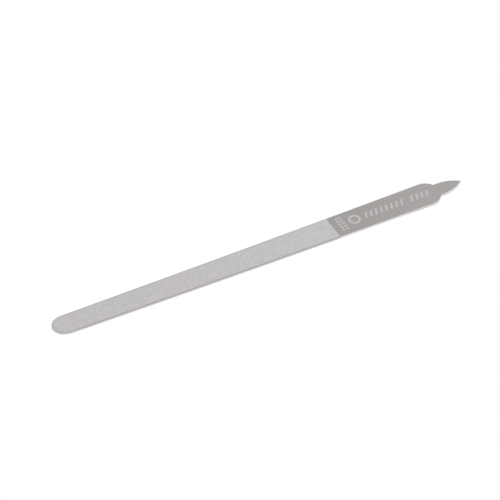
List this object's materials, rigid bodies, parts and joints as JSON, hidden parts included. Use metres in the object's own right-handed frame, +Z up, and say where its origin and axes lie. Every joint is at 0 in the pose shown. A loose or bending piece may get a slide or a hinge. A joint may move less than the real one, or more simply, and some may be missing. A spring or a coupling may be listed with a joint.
{
  "type": "metal nail file",
  "caption": "Flat steel nail file: a tapered strip with a rounded end, an abrasive layer on each face, a bare satin handle and a leaf-shaped point.",
  "frame": {"origin": "middle of the length and width, on the plane that the lower abrasive layer rests on", "axes": "+X along the length towards the leaf-shaped point, +Y across the width, +Z up through the thickness"},
  "size_m": [0.165, 0.0114, 0.001],
  "materials": {
    "satin_steel": "fine satin grain on the flat faces, brighter polished edges",
    "bonded_grit": "matte, fine sparkling grit bonded in plating"
  },
  "bodies": {
    "root": {"steel_blank": "satin_steel", "upper_abrasive_layer": "bonded_grit", "lower_abrasive_layer": "bonded_grit"}
  },
  "joints": []
}
